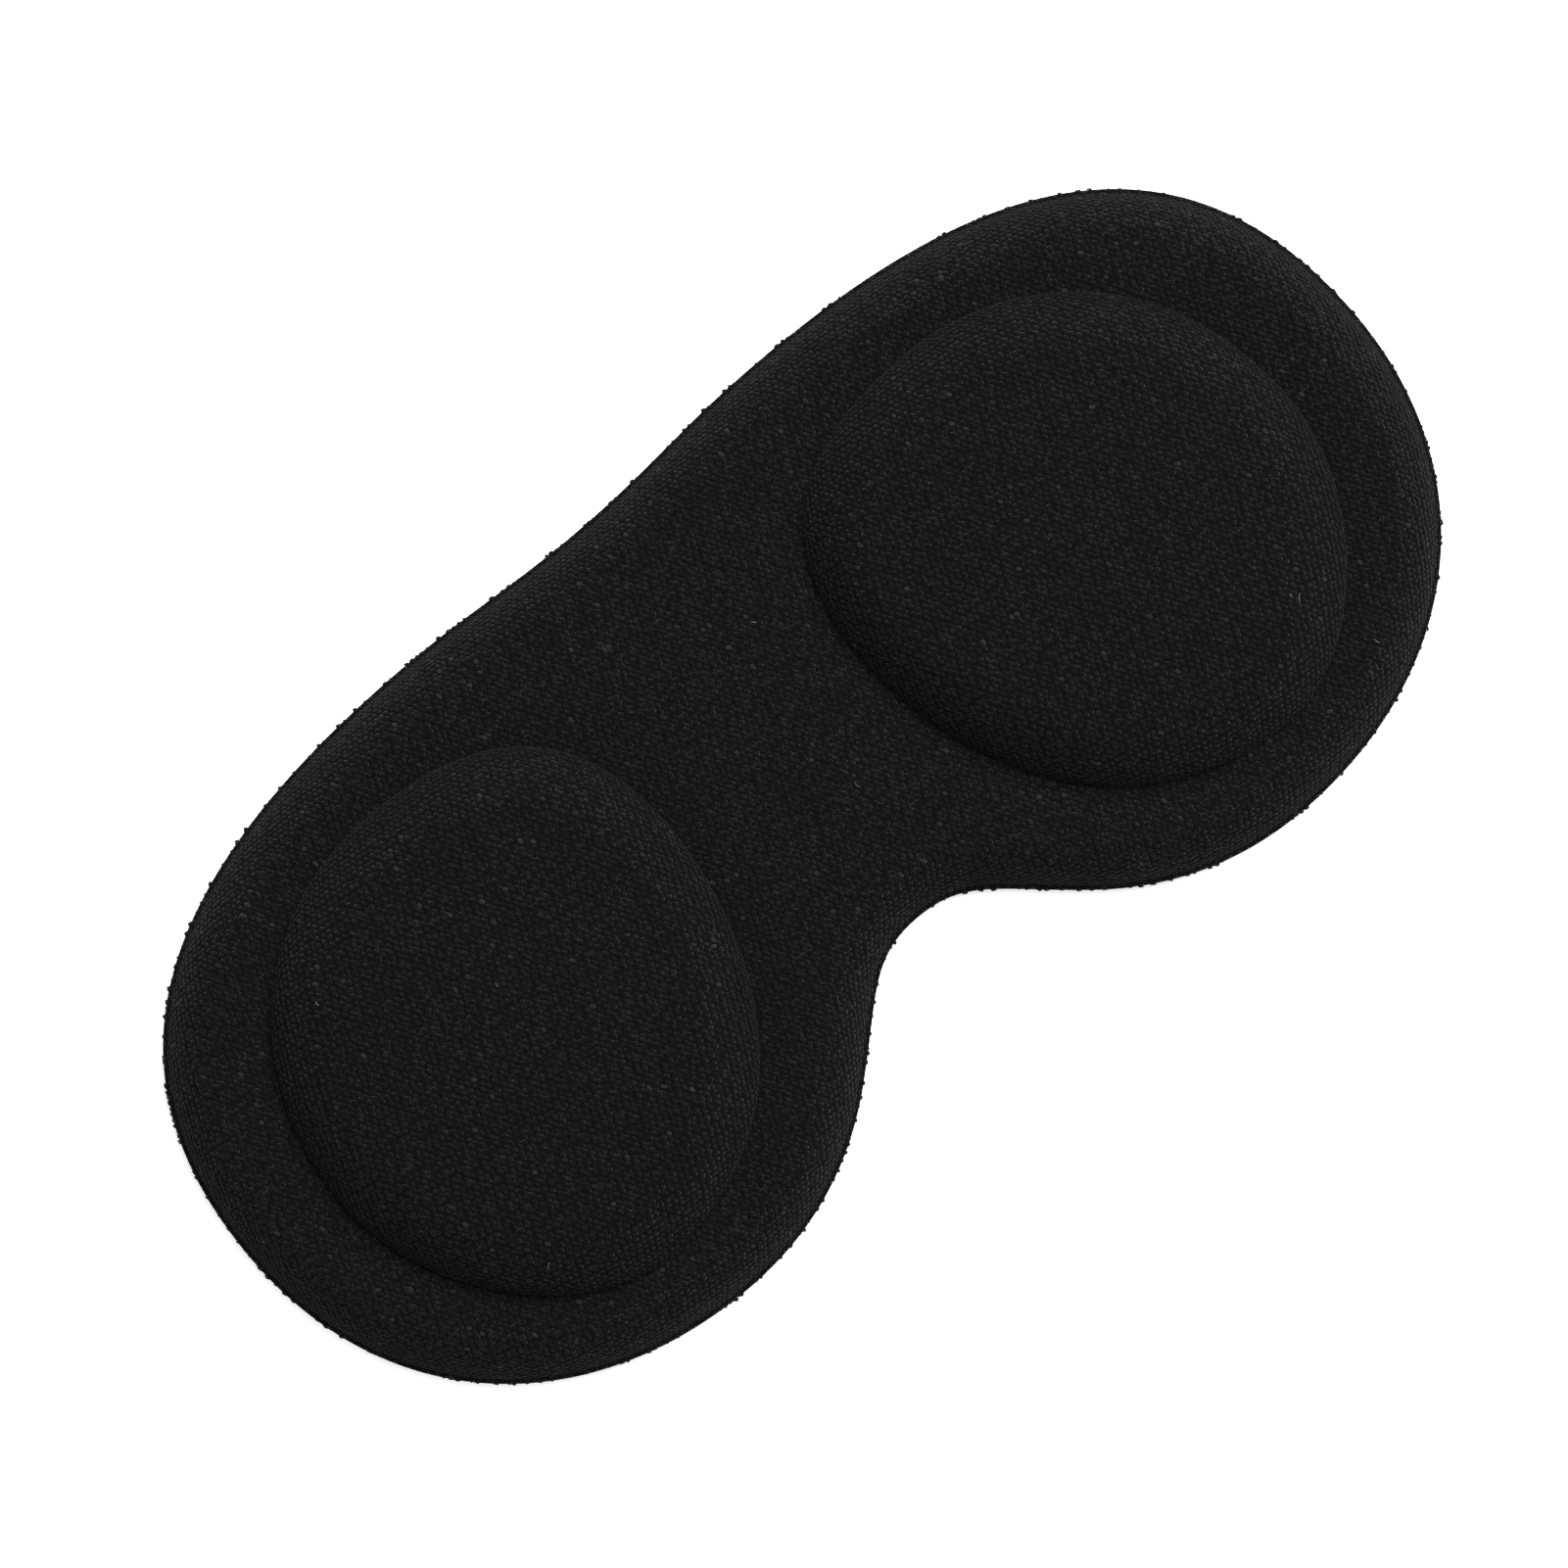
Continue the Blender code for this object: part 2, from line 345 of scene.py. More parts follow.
def addNode(tree, kind, links=None, **settings):
    # links maps an input's name or number to a value or to another node's output
    made = tree.nodes.new(kind)
    for key, value in settings.items():
        setattr(made, key, value)
    for key, value in (links or {}).items():
        if isinstance(value, bpy.types.NodeSocket):
            tree.links.new(value, made.inputs[key])
        else:
            made.inputs[key].default_value = value
    return made


def maths(tree, operation, *values):
    made = addNode(tree, "ShaderNodeMath", dict(enumerate(values)), operation=operation)
    return made.outputs[0]


def vectorMaths(tree, operation, *values, scale=None):
    links = dict(enumerate(values))
    if scale is not None:
        links["Scale"] = scale
    return addNode(tree, "ShaderNodeVectorMath", links, operation=operation).outputs[0]


def plainMeshFrom(name, tree, values):
    # runs a tree on an empty mesh and keeps what it makes as a plain mesh
    carrier = bpy.data.objects.new(name + "Carrier", bpy.data.meshes.new(name + "Carrier"))
    bpy.context.scene.collection.objects.link(carrier)
    modifier = carrier.modifiers.new(name, "NODES")
    modifier.node_group = tree
    idents = {item.name: item.identifier for item in tree.interface.items_tree if item.in_out == "INPUT"}
    for title, value in values.items():
        modifier[idents[title]] = value
    bpy.context.view_layer.update()
    evaluated = carrier.evaluated_get(bpy.context.evaluated_depsgraph_get())
    mesh = bpy.data.meshes.new_from_object(evaluated)
    mesh.name = name
    carrier.modifiers.remove(modifier)
    bpy.data.objects.remove(carrier)
    piece = bpy.data.objects.new(name, mesh)
    bpy.context.scene.collection.objects.link(piece)
    return piece


knit = {
    "loopPitch": 0.778 * mm,
    "rowSpacing": 0.519 * mm,
    "rowShift": -0.44,  # share of a pitch that each row moves along itself
    "rowAngle": math.radians(121.1),
    "loopLength": 0.74 * mm,
    "loopWidth": 0.5 * mm,
    "loopHeight": 0.092 * mm,
    "sunk": 0.03 * mm,
    "wander": 0.085 * mm,
    "seed": 7,
}


def knitTree():
    tree = newTree("knitLoops", [
        ("Cloth", "Object", None),
        ("Cloth Span", "Float", clothSpan),
        ("Loops", "Int", 100),
        ("Rows", "Int", 100),
        ("Loop Pitch", "Float", knit["loopPitch"]),
        ("Row Spacing", "Float", knit["rowSpacing"]),
        ("Row Shift", "Float", knit["rowShift"]),
        ("Row Angle", "Float", knit["rowAngle"]),
        ("Loop Size", "Vector", (knit["loopLength"], knit["loopWidth"], knit["loopHeight"])),
        ("Sunk", "Float", knit["sunk"]),
        ("Wander", "Float", knit["wander"]),
        ("Side", "Float", 1.0),
        ("Seed", "Int", knit["seed"]),
        ("Yarn", "Material", None),
    ])
    given = addNode(tree, "NodeGroupInput").outputs
    across = maths(tree, "MULTIPLY", given["Loop Pitch"], maths(tree, "SUBTRACT", given["Loops"], 1.0))
    down = maths(tree, "MULTIPLY", given["Row Spacing"], maths(tree, "SUBTRACT", given["Rows"], 1.0))
    grid = addNode(tree, "GeometryNodeMeshGrid", {
        "Size X": across, "Size Y": down, "Vertices X": given["Loops"], "Vertices Y": given["Rows"]})
    place = addNode(tree, "GeometryNodeInputPosition").outputs[0]
    split = addNode(tree, "ShaderNodeSeparateXYZ", {0: place})
    row = maths(tree, "ROUND", maths(tree, "DIVIDE", split.outputs["Y"], given["Row Spacing"]))
    slip = maths(tree, "FRACT", maths(tree, "MULTIPLY", row, given["Row Shift"]))
    alongRow = maths(tree, "ADD", split.outputs["X"], maths(tree, "MULTIPLY", slip, given["Loop Pitch"]))
    straight = addNode(tree, "ShaderNodeCombineXYZ", {"X": alongRow, "Y": split.outputs["Y"]}).outputs[0]
    turned = addNode(tree, "ShaderNodeVectorRotate", {"Vector": straight, "Angle": given["Row Angle"]},
                     rotation_type="Z_AXIS").outputs[0]
    least = vectorMaths(tree, "SCALE", (-1.0, -1.0, 0.0), scale=given["Wander"])
    most = vectorMaths(tree, "SCALE", (1.0, 1.0, 0.0), scale=given["Wander"])
    wander = addNode(tree, "FunctionNodeRandomValue", {"Min": least, "Max": most, "Seed": given["Seed"]},
                     data_type="FLOAT_VECTOR").outputs[0]
    inverse = maths(tree, "DIVIDE", 1.0, given["Cloth Span"])
    flat = vectorMaths(tree, "SCALE", vectorMaths(tree, "ADD", turned, wander), scale=inverse)
    flat = vectorMaths(tree, "ADD", flat, (0.5, 0.5, 0.0))

    cloth = addNode(tree, "GeometryNodeObjectInfo", {"Object": given["Cloth"]}).outputs["Geometry"]
    placeMap = addNode(tree, "GeometryNodeInputNamedAttribute", {"Name": "clothPlace"},
                       data_type="FLOAT_VECTOR").outputs["Attribute"]
    normal = addNode(tree, "GeometryNodeInputNormal").outputs[0]
    onCloth = addNode(tree, "GeometryNodeSampleUVSurface", {
        "Mesh": cloth, "Value": place, "UV Map": placeMap, "Sample UV": flat}, data_type="FLOAT_VECTOR")
    facing = addNode(tree, "GeometryNodeSampleUVSurface", {
        "Mesh": cloth, "Value": normal, "UV Map": placeMap, "Sample UV": flat},
        data_type="FLOAT_VECTOR").outputs["Value"]
    lowered = vectorMaths(tree, "SUBTRACT", onCloth.outputs["Value"],
                          vectorMaths(tree, "SCALE", facing, scale=given["Sunk"]))
    keep = addNode(tree, "GeometryNodeStoreNamedAttribute", {
        "Geometry": grid.outputs["Mesh"], "Name": "onCloth", "Value": onCloth.outputs["Is Valid"]},
        data_type="BOOLEAN", domain="POINT")
    aim = addNode(tree, "GeometryNodeStoreNamedAttribute", {
        "Geometry": keep.outputs[0], "Name": "facing", "Value": facing}, data_type="FLOAT_VECTOR", domain="POINT")
    moved = addNode(tree, "GeometryNodeSetPosition", {"Geometry": aim.outputs[0], "Position": lowered})

    valid = addNode(tree, "GeometryNodeInputNamedAttribute", {"Name": "onCloth"},
                    data_type="BOOLEAN").outputs["Attribute"]
    kept = addNode(tree, "GeometryNodeInputNamedAttribute", {"Name": "facing"},
                   data_type="FLOAT_VECTOR").outputs["Attribute"]
    here = addNode(tree, "ShaderNodeSeparateXYZ", {0: addNode(tree, "GeometryNodeInputPosition").outputs[0]})
    mySide = maths(tree, "GREATER_THAN", maths(tree, "MULTIPLY", here.outputs["X"], given["Side"]), 0.0)
    chosen = addNode(tree, "FunctionNodeBooleanMath", {0: valid, 1: mySide}, operation="AND").outputs[0]
    upright = addNode(tree, "FunctionNodeAlignRotationToVector", {"Vector": kept}, axis="Z").outputs[0]
    rowWay = addNode(tree, "ShaderNodeVectorRotate", {"Vector": (1.0, 0.0, 0.0), "Angle": given["Row Angle"]},
                     rotation_type="Z_AXIS").outputs[0]
    alongWay = addNode(tree, "FunctionNodeAlignRotationToVector", {"Rotation": upright, "Vector": rowWay},
                       axis="X", pivot_axis="Z").outputs[0]
    twist = addNode(tree, "FunctionNodeRandomValue", {
        "Min": (-0.12, -0.12, -0.6), "Max": (0.12, 0.12, 0.6), "Seed": maths(tree, "ADD", given["Seed"], 1.0)},
        data_type="FLOAT_VECTOR").outputs[0]
    twistTurn = addNode(tree, "FunctionNodeEulerToRotation", {0: twist}).outputs[0]
    turn = addNode(tree, "FunctionNodeRotateRotation", {"Rotation": alongWay, "Rotate By": twistTurn},
                   rotation_space="LOCAL").outputs[0]
    size = addNode(tree, "FunctionNodeRandomValue", {
        "Min": (0.49, 0.51, 0.75), "Max": (0.66, 0.69, 1.2), "Seed": maths(tree, "ADD", given["Seed"], 2.0)},
        data_type="FLOAT_VECTOR").outputs[0]
    scaled = vectorMaths(tree, "MULTIPLY", size, given["Loop Size"])
    cone = addNode(tree, "GeometryNodeMeshCone", {
        "Vertices": 5, "Radius Top": 0.5, "Radius Bottom": 1.0, "Depth": 1.0})
    rounded = addNode(tree, "GeometryNodeSetShadeSmooth", {0: cone.outputs["Mesh"], "Shade Smooth": True})
    bead = addNode(tree, "GeometryNodeSetShadeSmooth", {
        0: rounded.outputs[0], "Selection": cone.outputs["Bottom"], "Shade Smooth": False}).outputs[0]
    loops = addNode(tree, "GeometryNodeInstanceOnPoints", {
        "Points": moved.outputs[0], "Selection": chosen, "Instance": bead, "Rotation": turn, "Scale": scaled})
    shade = addNode(tree, "FunctionNodeRandomValue", {
        2: 0.0, 3: 1.0, "Seed": maths(tree, "ADD", given["Seed"], 3.0)}, data_type="FLOAT")
    toned = addNode(tree, "GeometryNodeStoreNamedAttribute", {
        "Geometry": loops.outputs[0], "Name": "tone", "Value": shade.outputs[1]},
        data_type="FLOAT", domain="INSTANCE")
    real = addNode(tree, "GeometryNodeRealizeInstances", {0: toned.outputs[0]})
    dressed = addNode(tree, "GeometryNodeSetMaterial", {"Geometry": real.outputs[0], "Material": given["Yarn"]})
    addNode(tree, "NodeGroupOutput", {0: dressed.outputs[0]})
    return tree


def newMaterial(name):
    material = bpy.data.materials.new(name)
    material.use_nodes = True
    tree = material.node_tree
    return material, tree, tree.nodes["Principled BSDF"]


def objectPlace(tree, scale):
    place = addNode(tree, "ShaderNodeTexCoord").outputs["Object"]
    return addNode(tree, "ShaderNodeMapping", {"Vector": place, "Scale": (scale, scale, scale)}).outputs[0]


def toneRamp(tree, share, stops):
    # stops are (place, grey) pairs
    ramp = addNode(tree, "ShaderNodeValToRGB", {"Fac": share})
    marks = ramp.color_ramp.elements
    while len(marks) < len(stops):
        marks.new(0.5)
    for mark, (place, grey) in zip(marks, stops):
        mark.position = place
        mark.color = (grey, grey, grey, 1)
    return ramp.outputs["Color"]


def finish(shader, tree, color, roughness, sheen=0.0, bump=None, strength=0.5, reach=0.2 * mm, shine=0.045):
    tree.links.new(color, shader.inputs["Base Color"])
    shader.inputs["Roughness"].default_value = roughness
    shader.inputs["Sheen Weight"].default_value = sheen
    shader.inputs["Sheen Roughness"].default_value = 0.45
    shader.inputs["Specular IOR Level"].default_value = shine
    if bump is not None:
        made = addNode(tree, "ShaderNodeBump", {"Height": bump, "Strength": strength, "Distance": reach})
        tree.links.new(made.outputs[0], shader.inputs["Normal"])


# paintedGlint is a painted highlight: a brighter base colour on a few loops, standing in for light caught by single
# fibres
yarnLook = {"dark": 0.0029, "middle": 0.0039, "pale": 0.0049, "paintedGlint": 0.015, "roughness": 0.85, "sheen": 0.055}


def yarnMaterial():
    material, tree, shader = newMaterial("blackKnit")
    tone = addNode(tree, "ShaderNodeAttribute", attribute_name="tone").outputs["Fac"]
    look = yarnLook
    # loops whose tone is above 0.98 get the painted glint colour; the rest vary in tone at random
    color = toneRamp(tree, tone, [(0, look["dark"]), (0.5, look["middle"]), (0.98, look["pale"]),
                                  (1, look["paintedGlint"])])
    patch = addNode(tree, "ShaderNodeTexNoise", {"Vector": objectPlace(tree, 260.0), "Scale": 1.0, "Detail": 3.0})
    blotch = toneRamp(tree, patch.outputs["Fac"], [(0.3, 0.93), (0.7, 1.07)])
    mixed = addNode(tree, "ShaderNodeMix", {0: 1.0, 6: color, 7: blotch}, data_type="RGBA", blend_type="MULTIPLY")
    finish(shader, tree, mixed.outputs[2], look["roughness"], look["sheen"])
    return material


def groundClothMaterial():
    # the cloth between and under the loops, coloured a little darker than the loops: painted shade in the gaps between
    # them
    material, tree, shader = newMaterial("blackGroundCloth")
    fine = addNode(tree, "ShaderNodeTexNoise", {"Vector": objectPlace(tree, 3200.0), "Scale": 1.0, "Detail": 2.0})
    color = toneRamp(tree, fine.outputs["Fac"], [(0.3, 0.0022), (0.7, 0.004)])
    finish(shader, tree, color, 0.9, 0.02, fine.outputs["Fac"], 0.5, 0.08 * mm, 0.015)
    return material


def brushedMaterial():
    material, tree, shader = newMaterial("brushedLining")
    nap = addNode(tree, "ShaderNodeTexNoise", {"Vector": objectPlace(tree, 900.0), "Scale": 1.0, "Detail": 5.0})
    streak = addNode(tree, "ShaderNodeTexNoise", {
        "Vector": addNode(tree, "ShaderNodeMapping", {
            "Vector": addNode(tree, "ShaderNodeTexCoord").outputs["Object"],
            "Scale": (2600.0, 700.0, 700.0), "Rotation": (0.0, 0.0, 0.9)}).outputs[0],
        "Scale": 1.0, "Detail": 3.0})
    both = maths(tree, "MULTIPLY", nap.outputs["Fac"], streak.outputs["Fac"])
    color = toneRamp(tree, both, [(0.12, 0.004), (0.42, 0.012)])
    finish(shader, tree, color, 0.95, 0.12, both, 0.8, 0.25 * mm)
    return material


def foamMaterial(name, dark, pale):
    material, tree, shader = newMaterial(name)
    cells = addNode(tree, "ShaderNodeTexVoronoi", {"Vector": objectPlace(tree, 2400.0), "Scale": 1.0})
    color = toneRamp(tree, cells.outputs["Distance"], [(0.1, dark), (0.8, pale)])
    finish(shader, tree, color, 0.9, 0.0, cells.outputs["Distance"], 0.7, 0.3 * mm)
    return material


def webMaterial():
    material, tree, shader = newMaterial("meltedWeb")
    strands = addNode(tree, "ShaderNodeTexNoise", {
        "Vector": objectPlace(tree, 1500.0), "Scale": 1.0, "Detail": 4.0, "Distortion": 1.8})
    color = toneRamp(tree, strands.outputs["Fac"], [(0.35, 0.4), (0.65, 0.62)])
    finish(shader, tree, color, 0.45, 0.0, strands.outputs["Fac"], 0.6, 0.1 * mm, 0.4)
    return material


def thicken(obj, thickness, inwards=True):
    # gives an open sheet its thickness with closed edges
    modifier = obj.modifiers.new("thickness", "SOLIDIFY")
    modifier.thickness = thickness
    modifier.offset = -1 if inwards else 0
    modifier.use_even_offset = True
    modifier.use_rim = True
    bpy.context.view_layer.update()
    mesh = bpy.data.meshes.new_from_object(obj.evaluated_get(bpy.context.evaluated_depsgraph_get()))
    obj.modifiers.clear()
    old, obj.data = obj.data, mesh
    mesh.name = obj.name
    bpy.data.meshes.remove(old)
    mesh.shade_smooth()
    mesh.set_sharp_from_angle(angle=math.radians(50))


def place(obj, material, slotName, *nodes):
    obj.data.materials.clear()
    obj.data.materials.append(material)
    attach(obj, "root")
    if nodes:
        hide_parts(*nodes)


stageDone("face cloth")
faceCover = surfaceFrom("faceCover", mouldedRings())
uneven(faceCover, moulding["unevenness"], moulding["unevenSize"], 3.0)
faceCover.data.shade_smooth()

stageDone("knitted loops")
yarn = yarnMaterial()
tree = knitTree()
width, height = 2 * cutEdge["halfLength"], 2 * cutEdge["halfHeight"]
span = math.hypot(width, height) + 6 * mm
across = math.ceil(span / knit["loopPitch"])
rows = 2 * math.ceil(span / knit["rowSpacing"] / 2) + 1
loopSides = {}
for name, side in (("knitLoopsRight", 1.0), ("knitLoopsLeft", -1.0)):
    loopSides[name] = plainMeshFrom(name, tree, {
        "Cloth": faceCover, "Loops": across, "Rows": rows, "Side": side, "Yarn": yarn,
        "Seed": knit["seed"]})
    print(name, len(loopSides[name].data.polygons), flush=True)

stageDone("thickness of the face cloth")
thicken(faceCover, moulding["cloth"])
place(faceCover, groundClothMaterial(), "face_knit", "face_fabric")
for piece in loopSides.values():
    place(piece, yarn, "face_knit")

stageDone("lining")
lining = {"thickness": liningHigh.z - liningLow.z, "edgeColumns": 236}
backLining = surfaceFrom("backLining", flatRings(0.14 * mm, liningHigh.z))
thicken(backLining, lining["thickness"])
place(backLining, brushedMaterial(), "brushed_lining", "back_lining")

stageDone("fuzz on the cut edge and lint")
fuzz = {"fibres": 2600, "length": 0.4 * mm, "radius": 0.008 * mm, "spread": 0.22 * mm, "seed": 5}


def fuzzTree():
    tree = newTree("edgeFuzz", [
        ("Edge", "Object", None), ("Fibres", "Int", fuzz["fibres"]), ("Length", "Float", fuzz["length"]),
        ("Radius", "Float", fuzz["radius"]), ("Spread", "Float", fuzz["spread"]), ("Seed", "Int", fuzz["seed"]),
        ("Yarn", "Material", None)])
    given = addNode(tree, "NodeGroupInput").outputs
    edge = addNode(tree, "GeometryNodeObjectInfo", {"Object": given["Edge"]}).outputs["Geometry"]
    line = addNode(tree, "GeometryNodeMeshToCurve", {0: edge}).outputs[0]
    spots = addNode(tree, "GeometryNodeCurveToPoints", {"Curve": line, "Count": given["Fibres"]}, mode="COUNT")
    out = addNode(tree, "ShaderNodeVectorRotate", {"Vector": spots.outputs["Tangent"], "Angle": math.pi / 2},
                  rotation_type="Z_AXIS").outputs[0]
    kept = addNode(tree, "GeometryNodeStoreNamedAttribute", {
        "Geometry": spots.outputs["Points"], "Name": "outwards", "Value": out},
        data_type="FLOAT_VECTOR", domain="POINT")
    least = vectorMaths(tree, "SCALE", (-1.0, -1.0, -1.0), scale=given["Spread"])
    most = vectorMaths(tree, "SCALE", (1.0, 1.0, 1.0), scale=given["Spread"])
    stray = addNode(tree, "FunctionNodeRandomValue", {"Min": least, "Max": most, "Seed": given["Seed"]},
                    data_type="FLOAT_VECTOR").outputs[0]
    back = vectorMaths(tree, "SCALE", addNode(tree, "GeometryNodeInputNamedAttribute", {"Name": "outwards"},
                                              data_type="FLOAT_VECTOR").outputs["Attribute"],
                       scale=maths(tree, "MULTIPLY", given["Spread"], -1.3))
    moved = addNode(tree, "GeometryNodeSetPosition", {
        "Geometry": kept.outputs[0], "Offset": vectorMaths(tree, "ADD", stray, back)})
    lean = addNode(tree, "FunctionNodeRandomValue", {
        "Min": (-0.9, -0.9, -0.25), "Max": (0.9, 0.9, 0.7), "Seed": maths(tree, "ADD", given["Seed"], 1.0)},
        data_type="FLOAT_VECTOR").outputs[0]
    aim = vectorMaths(tree, "ADD", lean, addNode(tree, "GeometryNodeInputNamedAttribute", {"Name": "outwards"},
                                                 data_type="FLOAT_VECTOR").outputs["Attribute"])
    turn = addNode(tree, "FunctionNodeAlignRotationToVector", {"Vector": aim}, axis="Z").outputs[0]
    share = addNode(tree, "FunctionNodeRandomValue", {
        2: 0.4, 3: 1.0, "Seed": maths(tree, "ADD", given["Seed"], 2.0)}, data_type="FLOAT").outputs[1]
    size = addNode(tree, "ShaderNodeCombineXYZ", {
        "X": given["Radius"], "Y": given["Radius"], "Z": maths(tree, "MULTIPLY", given["Length"], share)}).outputs[0]
    fibre = addNode(tree, "GeometryNodeMeshCone", {
        "Vertices": 3, "Radius Top": 0.5, "Radius Bottom": 1.0, "Depth": 1.0}).outputs["Mesh"]
    fibres = addNode(tree, "GeometryNodeInstanceOnPoints", {
        "Points": moved.outputs[0], "Instance": fibre, "Rotation": turn, "Scale": size})
    real = addNode(tree, "GeometryNodeRealizeInstances", {0: fibres.outputs[0]})
    dressed = addNode(tree, "GeometryNodeSetMaterial", {"Geometry": real.outputs[0], "Material": given["Yarn"]})
    addNode(tree, "NodeGroupOutput", {0: dressed.outputs[0]})
    return tree


def fuzzMaterial():
    material, tree, shader = newMaterial("fuzz")
    tint = addNode(tree, "ShaderNodeTexNoise", {"Vector": objectPlace(tree, 500.0), "Scale": 1.0})
    finish(shader, tree, toneRamp(tree, tint.outputs["Fac"], [(0.35, 0.05), (0.65, 0.14)]), 0.8, 0.1)
    return material


halfEdge = halfCutEdge(meshing["edgeColumns"])[0]
wholeEdge = np.vstack([halfEdge, (halfEdge * np.array([-1, 1]))[::-1][1:-1]])
edgeMesh = bpy.data.meshes.new("edgeLine")
edgeMesh.from_pydata([(x, y, moulding["lipTop"] - 0.3 * mm) for x, y in wholeEdge],
                     [(i, (i + 1) % len(wholeEdge)) for i in range(len(wholeEdge))], [])
edgeLine = bpy.data.objects.new("edgeLine", edgeMesh)
bpy.context.scene.collection.objects.link(edgeLine)
edgeFuzz = plainMeshFrom("edgeFuzz", fuzzTree(), {"Edge": edgeLine, "Yarn": fuzzMaterial(), "Seed": fuzz["seed"]})
bpy.data.objects.remove(edgeLine)
place(edgeFuzz, edgeFuzz.data.materials[0], "face_knit")

# specks of lint as (x, y, direction, length)
lintSpecks = ((51.1, -18.9, 0.4, 0.9), (50.6, -18.2, 1.2, 0.5), (4.4, -3.8, 2.0, 0.8), (-36.9, 4.7, 1.1, 0.5),
              (-51.8, -20.5, 0.2, 0.6), (7.2, 15.8, 2.6, 0.5), (-52.1, 15.3, 1.7, 0.5), (-31.0, -34.4, 0.8, 0.5),
              (54.4, -27.5, 2.2, 0.5))


def lintFibres(cover):
    bm = bmesh.new()
    for x, y, way, length in lintSpecks:
        rings = []
        for k in range(6):
            share = k / 5 - 0.5
            bend = 0.25 * math.sin(3 * share + way) * length
            dx = share * length * math.cos(way) - bend * math.sin(way)
            dy = share * length * math.sin(way) + bend * math.cos(way)
            hit, spot, normal, _ = cover.ray_cast(Vector(((x + dx) * mm, (y + dy) * mm, 0.05)), Vector((0, 0, -1)))
            thick = 0.032 * mm * (1 - abs(share))
            rings.append([bm.verts.new(spot + Vector((-math.sin(way) * math.cos(a) * thick, math.cos(way) * math.cos(a)
                                                      * thick, 0.16 * mm + math.sin(a) * thick)))
                          for a in (0.0, math.pi * 2 / 3, math.pi * 4 / 3)])
        for one, two in zip(rings, rings[1:]):
            for i in range(3):
                bm.faces.new((one[i], one[(i + 1) % 3], two[(i + 1) % 3], two[i]))
        bm.faces.new(rings[0][::-1])
        bm.faces.new(rings[-1])
    bmesh.ops.recalc_face_normals(bm, faces=bm.faces)
    mesh = bpy.data.meshes.new("lint")
    bm.to_mesh(mesh)
    bm.free()
    mesh.shade_smooth()
    obj = bpy.data.objects.new("lint", mesh)
    bpy.context.scene.collection.objects.link(obj)
    return obj


def lintMaterial():
    material, tree, shader = newMaterial("lint")
    tint = addNode(tree, "ShaderNodeTexNoise", {"Vector": objectPlace(tree, 700.0), "Scale": 1.0})
    finish(shader, tree, toneRamp(tree, tint.outputs["Fac"], [(0.3, 0.16), (0.7, 0.4)]), 0.7)
    return material


lint = lintFibres(faceCover)
place(lint, lintMaterial(), "face_knit")

stageDone("foam and webs")
coreFoam = foamMaterial("coreFoam", 0.018, 0.04)
padFoam = foamMaterial("padFoam", 0.04, 0.08)
web = webMaterial()

topRings = mouldedRings(1.25 * mm, domed=False)
bottom = flatRings(moulding["lip"] + 1.6 * mm, liningHigh.z + 0.3 * mm, 8)
foamCore = surfaceFrom("foamCore", bottom[::-1] + topRings)
place(foamCore, coreFoam, "core_foam", "foam_core")

border = halfBorder(moulding["lip"] + moulding["shoulderRun"], meshing["bridgeColumns"])
foot, footInward, middle = footUnder(border)
padTop = domeRings(foot, footInward, middle, 1.25 * mm)
base = padTop[0]
padBottom = [ringOf(base[:, :2] + (middle - base[:, :2]) * k / 6, padLow.z) for k in range(7)]
lensPadRight = surfaceFrom("lensPadRight", padBottom[::-1] + padTop, mirrored=False)
place(lensPadRight, padFoam, "pad_foam", "lens_pad_right")
flip = np.array([-1, 1, 1, -1, 1])
lensPadLeft = surfaceFrom("lensPadLeft", [ring * flip for ring in padBottom[::-1] + padTop], mirrored=False)
place(lensPadLeft, padFoam, "pad_foam", "lens_pad_left")

webThickness = 0.15 * mm
padWebTop = moulding["rimTop"] - moulding["grooveDip"] - 1.25 * mm + 0.3 * mm + webThickness
for name, sideFlip, node in (("padWebRight", 1, "pad_adhesive_right"), ("padWebLeft", -1, "pad_adhesive_left")):
    turned = np.array([sideFlip, 1, 1, sideFlip, 1])
    rings = [ringOf(base[:, :2] + (middle - base[:, :2]) * k / 10, padWebTop) * turned for k in range(11)]
    piece = surfaceFrom(name, rings, mirrored=False)
    thicken(piece, webThickness)
    place(piece, web, "hot_melt_web", node)
liningWeb = surfaceFrom("liningWeb", flatRings(1.3 * mm, liningHigh.z + 0.17 * mm, 12))
thicken(liningWeb, webThickness)
place(liningWeb, web, "hot_melt_web", "lining_adhesive_web")
faceWeb = surfaceFrom("faceWeb", mouldedRings(0.8 * mm))
thicken(faceWeb, webThickness)
place(faceWeb, web, "hot_melt_web", "face_adhesive_web")

stageDone("what is cloth and what is foam")
half = halfBorder(0.0, 40)

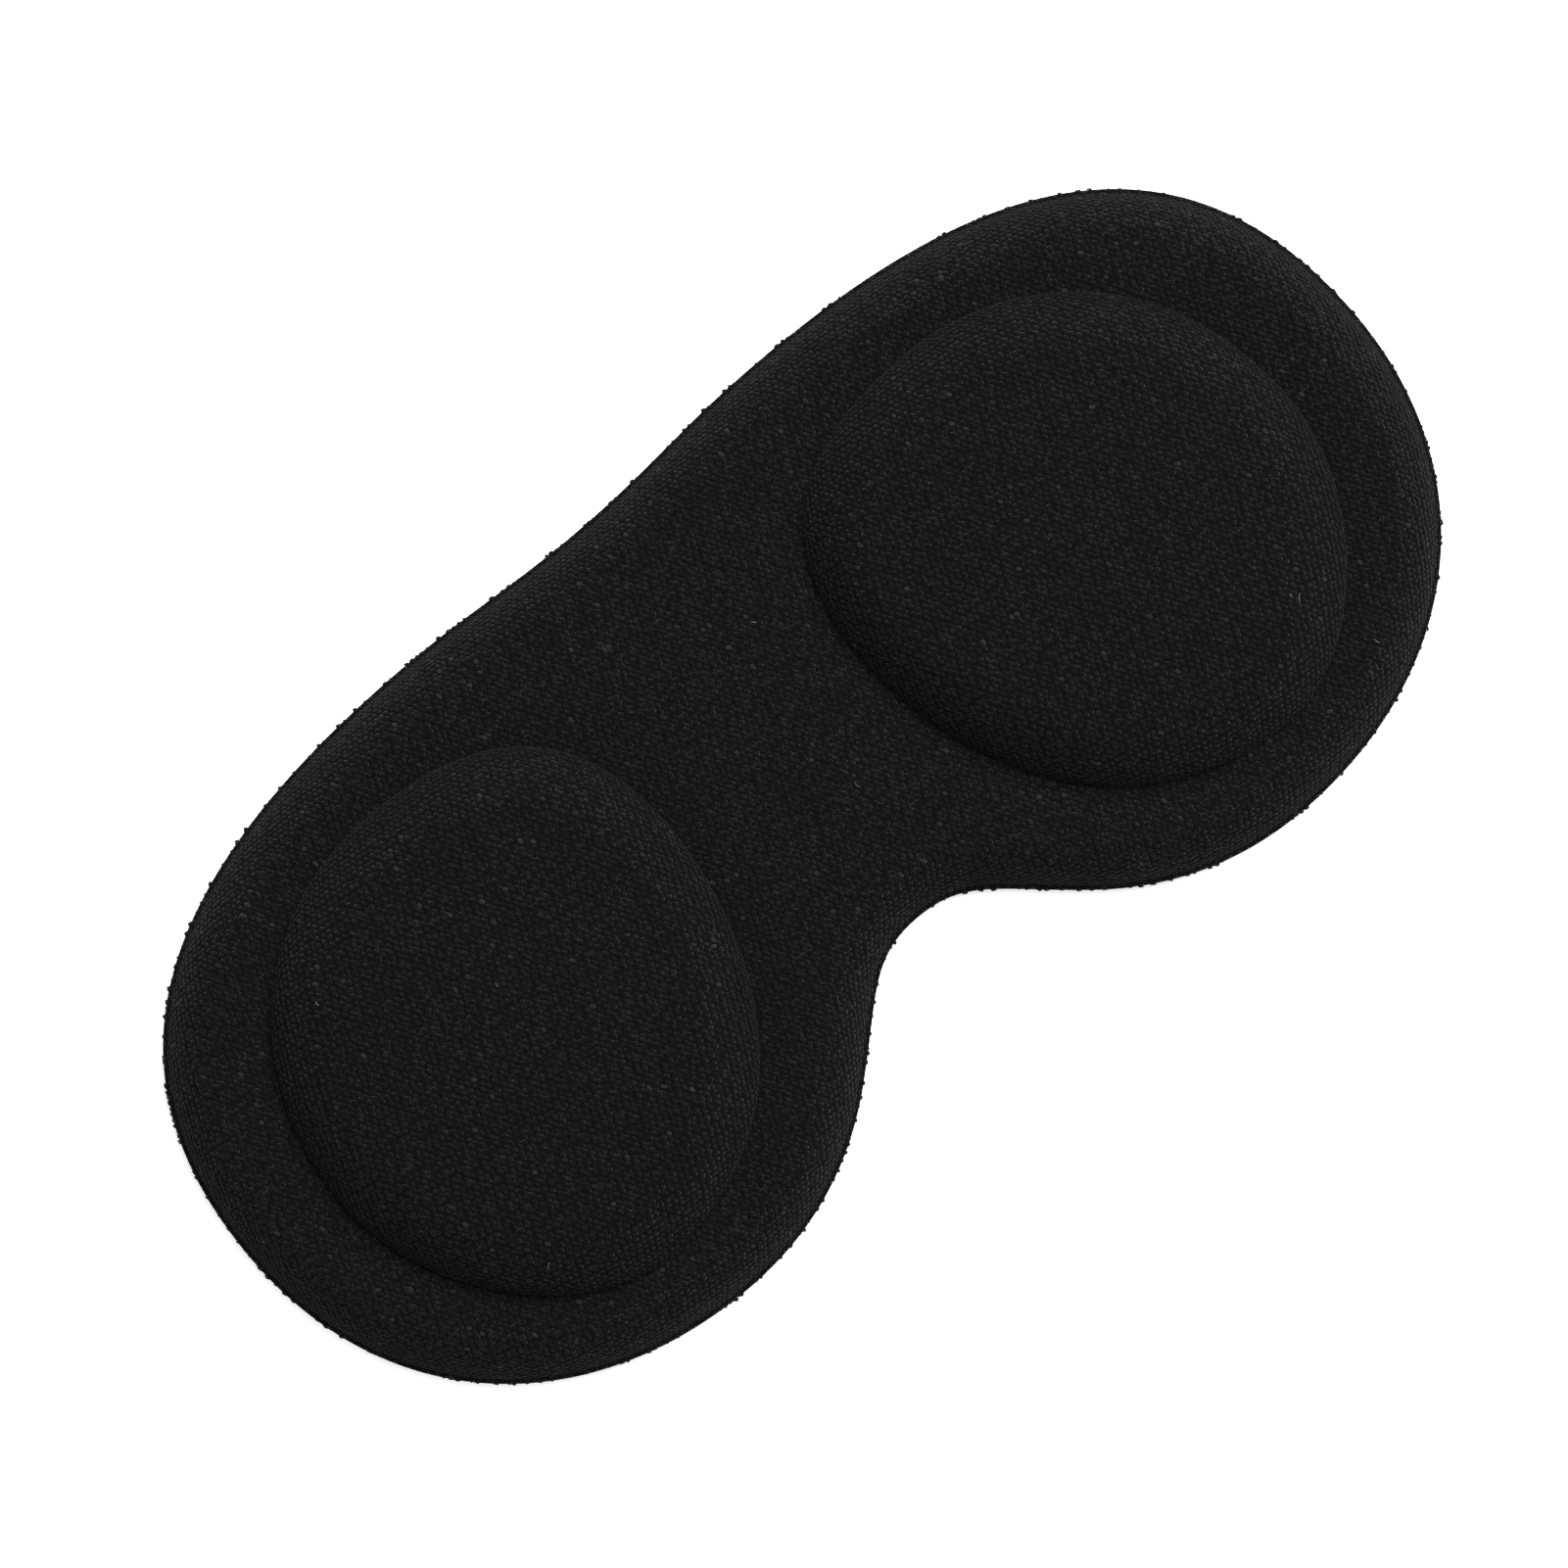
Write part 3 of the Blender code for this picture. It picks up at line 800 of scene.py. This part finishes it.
stageDone("floor, light and camera")
floorMesh = bpy.data.meshes.new("floor")
floorMesh.from_pydata([(-3, -3, 0), (3, -3, 0), (3, 3, 0), (-3, 3, 0)], [], [(0, 1, 2, 3)])
floor = bpy.data.objects.new("floor", floorMesh)
floor.location.z = -0.1 * mm
bpy.context.scene.collection.objects.link(floor)
material, tree, shader = newMaterial("paleFloor")
shader.inputs["Base Color"].default_value = (0.92, 0.92, 0.92, 1)
shader.inputs["Roughness"].default_value = 0.9
shader.inputs["Emission Color"].default_value = (1, 1, 1, 1)
shader.inputs["Emission Strength"].default_value = 0.55  # a lit table, so that no shadow shows
floorMesh.materials.append(material)

light = {"surround": 0.6, "key": 26.0, "keyWay": math.radians(18), "keyHeight": math.radians(48), "keyAway": 1.1,
         "keySize": 0.9}
world = bpy.data.worlds.new("studio")
bpy.context.scene.world = world
world.use_nodes = True
world.node_tree.nodes["Background"].inputs["Color"].default_value = (1, 1, 1, 1)
world.node_tree.nodes["Background"].inputs["Strength"].default_value = light["surround"]
lampData = bpy.data.lights.new("softKey", "AREA")
lampData.shape = "DISK"
lampData.size = light["keySize"]
lampData.energy = light["key"]
lamp = bpy.data.objects.new("softKey", lampData)
level = math.cos(light["keyHeight"]) * light["keyAway"]
lamp.location = (level * math.cos(light["keyWay"]), level * math.sin(light["keyWay"]),
                 math.sin(light["keyHeight"]) * light["keyAway"])
lamp.rotation_euler = (-lamp.location).to_track_quat("-Z", "Y").to_euler()
bpy.context.scene.collection.objects.link(lamp)

cameraAt = {"middle": (-1.33 * mm, 1.14 * mm), "roll": math.radians(-40.76), "away": 1.123, "lens": 250}
cameraData = bpy.data.cameras.new("camera")
cameraData.lens = cameraAt["lens"]
cameraData.sensor_width = 36
cameraData.clip_end = 20
camera = bpy.data.objects.new("camera", cameraData)
camera.location = (*cameraAt["middle"], cameraAt["away"])
camera.rotation_euler = (0, 0, cameraAt["roll"])
bpy.context.scene.collection.objects.link(camera)
bpy.context.scene.camera = camera
bpy.context.scene.view_settings.view_transform = "Standard"
